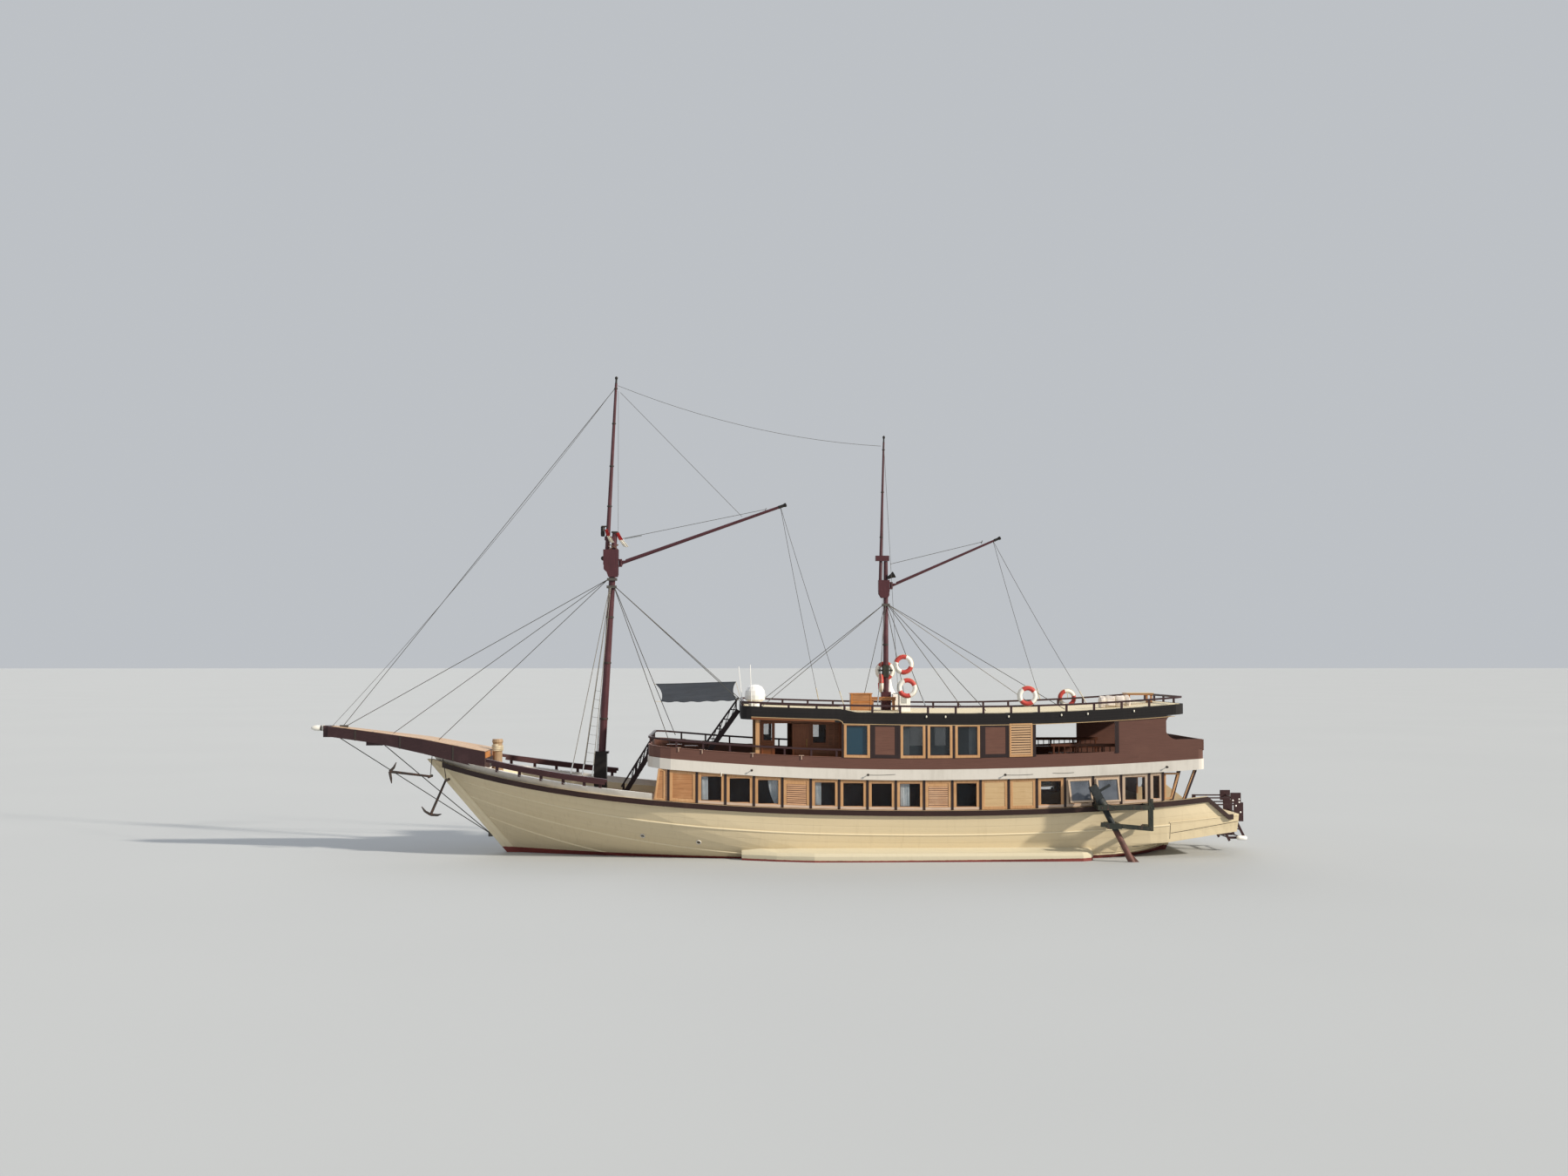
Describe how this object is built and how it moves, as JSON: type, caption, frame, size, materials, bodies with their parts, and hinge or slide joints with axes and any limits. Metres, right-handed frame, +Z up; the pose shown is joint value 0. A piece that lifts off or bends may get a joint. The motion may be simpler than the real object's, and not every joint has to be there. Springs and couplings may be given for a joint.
{
  "type": "liveaboard dive boat",
  "caption": "Wooden two-masted motor-sailer with two decks of cabins, flat roof, long bowsprit, bare masts with gaffs, side floats and quarter rudders.",
  "frame": {"origin": "on the waterline, amidships, on the centre line", "axes": "+X to the bow, +Y to port, +Z up"},
  "size_m": [36.7304, 8.96, 21.2408],
  "materials": {
    "hull_paint": "cream gloss paint over planks, weathered",
    "trim_timber": "dark stained timber",
    "spar_timber": "dark maroon-brown oiled spars",
    "white_paint": "white painted timber",
    "rail_timber": "reddish brown stained timber",
    "varnished_timber": "honey coloured varnished timber",
    "brown_paint": "matt reddish brown painted timber",
    "roof_paint": "near black painted timber",
    "window_glass": "tinted window glass",
    "anchor_iron": "galvanised iron, rusty at the flukes",
    "rigging_wire": "galvanised wire",
    "canvas": "charcoal coated cloth",
    "white_shell": "white moulded shell",
    "unit_metal": "pale grey enamel",
    "rudder_frame_paint": "dark green black paint, worn",
    "rudder_paint": "worn dark red antifouling paint",
    "propeller_bronze": "cast bronze"
  },
  "bodies": {
    "ship": {"hull": "hull_paint", "keel_and_stem": "hull_paint", "sponson_port": "hull_paint", "sponson_starboard": "hull_paint", "rubbing_strake_port": "trim_timber", "rubbing_strake_starboard": "trim_timber", "bowsprit": "trim_timber", "upper_rail": "trim_timber", "roof_rail": "trim_timber", "roof_stair": "trim_timber", "foredeck_stair": "trim_timber", "stern_stage": "trim_timber", "fore_mast": "spar_timber", "fore_topmast": "spar_timber", "main_mast": "spar_timber", "main_topmast": "spar_timber", "bow_bulwark": "white_paint", "bowsprit_tip": "white_paint", "upper_deck": "white_paint", "fore_rail_port": "rail_timber", "fore_rail_starboard": "rail_timber", "bow_bollard": "varnished_timber", "main_house_wall_port": "varnished_timber", "main_house_wall_starboard": "varnished_timber", "main_house_front": "varnished_timber", "main_house_aft": "varnished_timber", "cabin_partitions": "varnished_timber", "veranda_bulkhead": "varnished_timber", "wheelhouse": "varnished_timber", "roof_box_and_bench": "varnished_timber", "roof_table": "varnished_timber", "upper_bulwark": "brown_paint", "upper_house_wall_port": "brown_paint", "upper_house_wall_starboard": "brown_paint", "roof": "roof_paint", "main_house_glass_port": "window_glass", "main_house_glass_starboard": "window_glass", "upper_house_glass_port": "window_glass", "upper_house_glass_starboard": "window_glass", "wheelhouse_glass": "window_glass", "anchor_forward": "anchor_iron", "anchor_aft": "anchor_iron", "bobstays": "rigging_wire", "forestays": "rigging_wire", "fore_backstays": "rigging_wire", "main_stays": "rigging_wire", "awning": "canvas", "rolled_cover": "canvas", "radome": "white_shell", "ac_unit": "unit_metal", "rudder_frame_port": "rudder_frame_paint", "rudder_frame_starboard": "rudder_frame_paint"},
    "propeller": {"propeller": "propeller_bronze"},
    "rudder_port": {"side_rudder_port": "rudder_paint"},
    "rudder_starboard": {"side_rudder_starboard": "rudder_paint"},
    "gaff_fore": {"fore_gaff": "spar_timber"},
    "gaff_main": {"main_gaff": "spar_timber"},
    "door_port": {"wheelhouse_door_port": "varnished_timber"},
    "door_starboard": {"wheelhouse_door_starboard": "varnished_timber"}
  },
  "joints": [
    {"name": "propeller_spin", "type": "hinge", "parent": "ship", "child": "propeller", "pos_m": [-12.97, 0, -1.5], "axis": [1, 0, 0], "continuous": true},
    {"name": "rudder_port_turn", "type": "hinge", "parent": "ship", "child": "rudder_port", "pos_m": [-9.87, 4.12, 2.03], "axis": [0.4613, 0, 0.8872], "range_deg": [-35, 35]},
    {"name": "rudder_starboard_turn", "type": "hinge", "parent": "ship", "child": "rudder_starboard", "pos_m": [-9.87, -4.12, 2.03], "axis": [0.4613, 0, 0.8872], "range_deg": [-35, 35]},
    {"name": "fore_gaff_swing", "type": "hinge", "parent": "ship", "child": "gaff_fore", "pos_m": [8.37, 0, 11.35], "axis": [0, 0, 1], "range_deg": [-35, 35]},
    {"name": "main_gaff_swing", "type": "hinge", "parent": "ship", "child": "gaff_main", "pos_m": [-2.375, 0, 10.47], "axis": [0, 0, 1], "range_deg": [-35, 35]},
    {"name": "wheelhouse_door_port_swing", "type": "hinge", "parent": "ship", "child": "door_port", "pos_m": [1.68, 2.46, 4.3], "axis": [0, 0, 1], "range_deg": [-180, 0]},
    {"name": "wheelhouse_door_starboard_swing", "type": "hinge", "parent": "ship", "child": "door_starboard", "pos_m": [1.68, -2.46, 4.3], "axis": [0, 0, 1], "range_deg": [0, 180]}
  ]
}
